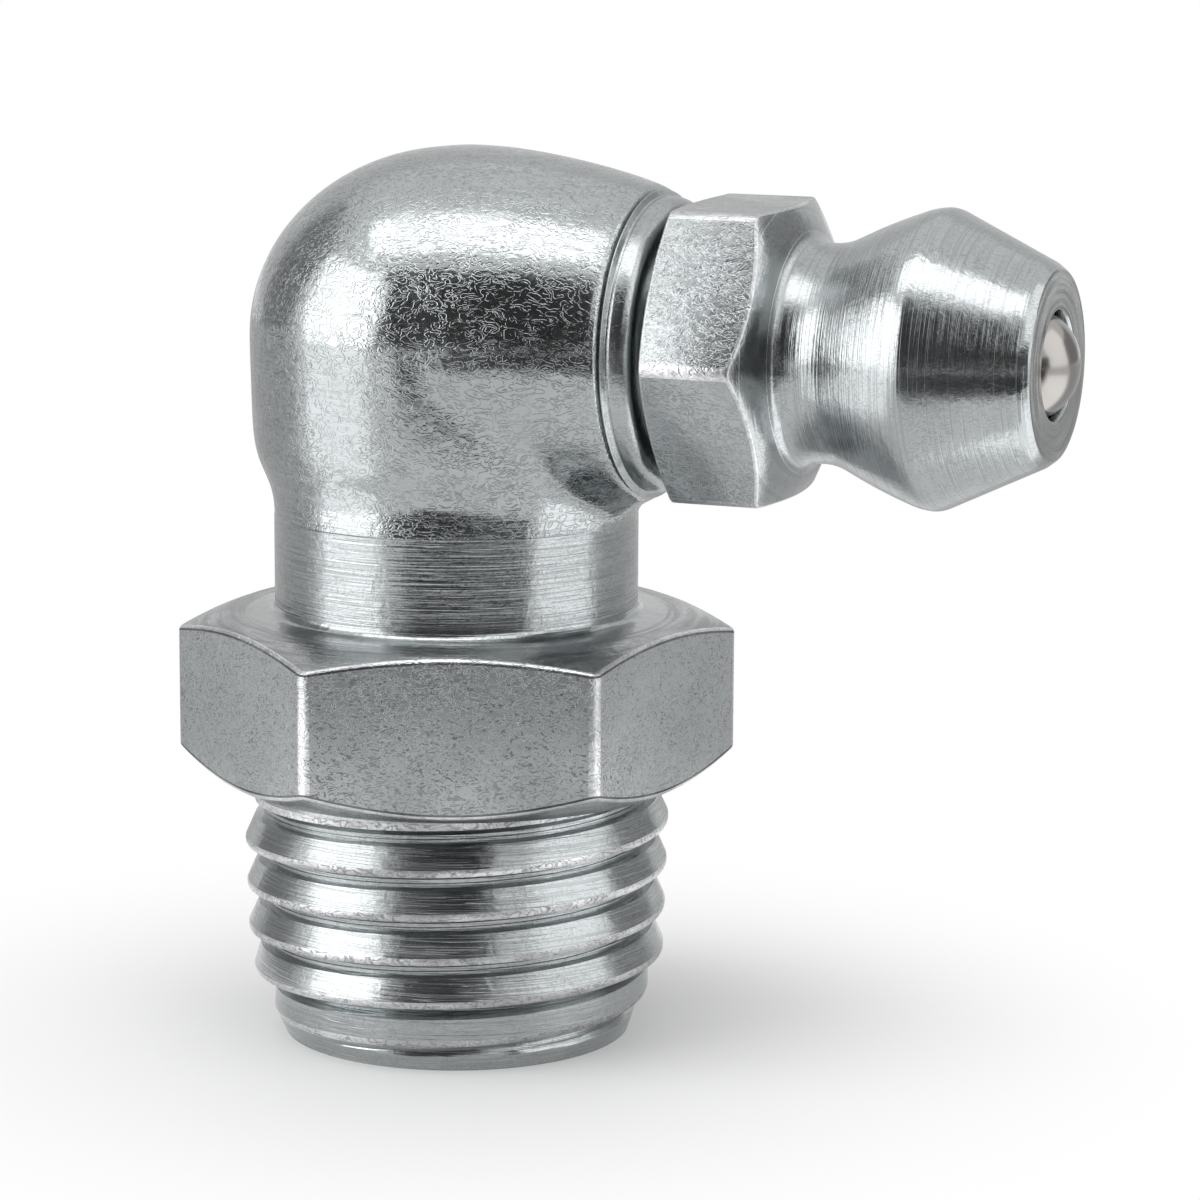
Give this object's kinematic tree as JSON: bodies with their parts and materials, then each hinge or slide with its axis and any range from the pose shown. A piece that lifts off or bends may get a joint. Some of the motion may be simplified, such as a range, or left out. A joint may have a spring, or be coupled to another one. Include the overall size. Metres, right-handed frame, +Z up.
{
  "type": "angled grease fitting",
  "caption": "Right-angle grease fitting: forged elbow with a tapered threaded shank and spanner hexagon, and a screwed-in double-cone coupler head with a spring-loaded check ball.",
  "frame": {"origin": "centre of the threaded shank's lower end, where the grease passage leaves", "axes": "+Z up the shank's axis, +X along the coupler head's axis towards its tip"},
  "size_m": [0.0203, 0.0126, 0.0202],
  "materials": {
    "elbow": "bright zinc plate over a forged surface, turned at the neck and the thread",
    "head": "bright zinc plate over fine turning lines",
    "ball": "polished bearing steel",
    "spring": "plain drawn spring wire"
  },
  "bodies": {
    "fitting": {"elbow_body": "elbow", "coupler_head": "head", "check_spring": "spring"},
    "ball": {"check_ball": "ball"}
  },
  "joints": [
    {"name": "ball_slide", "type": "slide", "parent": "fitting", "child": "ball", "axis": [-1, 0, 0], "range_m": [0, 0.001], "stiffness_N_per_m": 500, "springref_m": -0.001, "deforming": ["check_spring"]}
  ]
}
